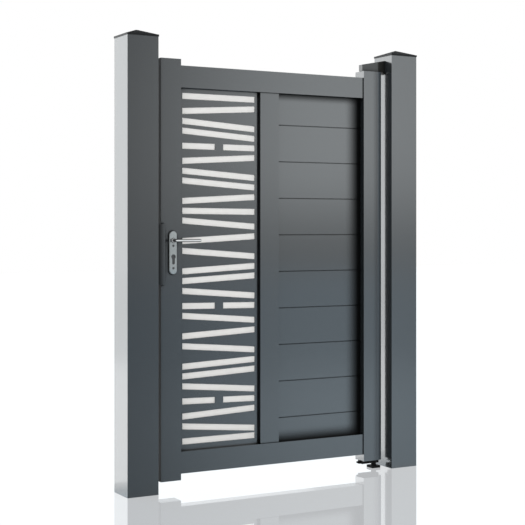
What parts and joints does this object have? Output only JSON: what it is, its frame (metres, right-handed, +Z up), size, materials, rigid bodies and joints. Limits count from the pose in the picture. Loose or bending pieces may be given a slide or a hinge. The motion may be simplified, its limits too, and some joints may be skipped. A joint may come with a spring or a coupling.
{
  "type": "pedestrian gate",
  "caption": "Single-leaf aluminium pedestrian gate between square posts, with a slotted decor panel beside horizontal boards, a lever lock and a pivot hinge.",
  "frame": {"origin": "on the ground at the centre of the hinge post's foot", "axes": "+X along the gate from the latch post to the hinge post, +Y to the back, +Z up"},
  "size_m": [1.255, 0.154, 1.664],
  "materials": {
    "post_paint": "smooth glossy anthracite powder coat",
    "leaf_paint": "smooth glossy anthracite powder coat",
    "black_paint": "satin black",
    "cap_plastic": "black",
    "satin_metal": "satin",
    "dark_steel": "turned",
    "bare_aluminium": "mill finish",
    "opal_white": "opal white"
  },
  "bodies": {
    "posts": {"hinge_post": "post_paint", "hinge_post_cap": "cap_plastic", "hinge_post_foot": "bare_aluminium", "latch_post": "post_paint", "latch_post_cap": "cap_plastic", "latch_post_foot": "bare_aluminium", "top_hinge_arm": "black_paint", "top_pivot_pin": "dark_steel", "floor_pivot": "black_paint", "keeper": "leaf_paint"},
    "leaf": {"latch_stile": "leaf_paint", "hinge_stile": "post_paint", "latch_stile_top_cap": "leaf_paint", "latch_stile_bottom_cap": "leaf_paint", "hinge_stile_top_cap": "post_paint", "hinge_stile_bottom_cap": "post_paint", "top_rail": "leaf_paint", "bottom_rail": "leaf_paint", "mullion": "leaf_paint", "plank_01": "leaf_paint", "plank_02": "leaf_paint", "plank_03": "leaf_paint", "plank_04": "leaf_paint", "plank_05": "leaf_paint", "plank_06": "leaf_paint", "plank_07": "leaf_paint", "plank_08": "leaf_paint", "plank_09": "leaf_paint", "plank_10": "leaf_paint", "decor_sheet_front": "leaf_paint", "opal_panel": "opal_white", "decor_sheet_back": "leaf_paint", "foot_bracket": "black_paint", "lock_plate_front": "satin_metal", "lock_plate_back": "satin_metal", "lock_cylinder": "dark_steel", "lock_forend": "satin_metal"},
    "lever": {"lever_front": "satin_metal", "lever_back": "satin_metal", "spindle": "satin_metal"}
  },
  "joints": [
    {"name": "leaf_swing", "type": "hinge", "parent": "posts", "child": "leaf", "pos_m": [-0.106, 0, 0], "axis": [0, 0, -1], "range_deg": [0, 100]},
    {"name": "lever_turn", "type": "hinge", "parent": "leaf", "child": "lever", "pos_m": [-1.0035, 0, 0.908], "axis": [0, 1, 0], "range_deg": [0, 40], "stiffness_Nm_per_rad": 1.5, "springref_deg": -22.92}
  ]
}
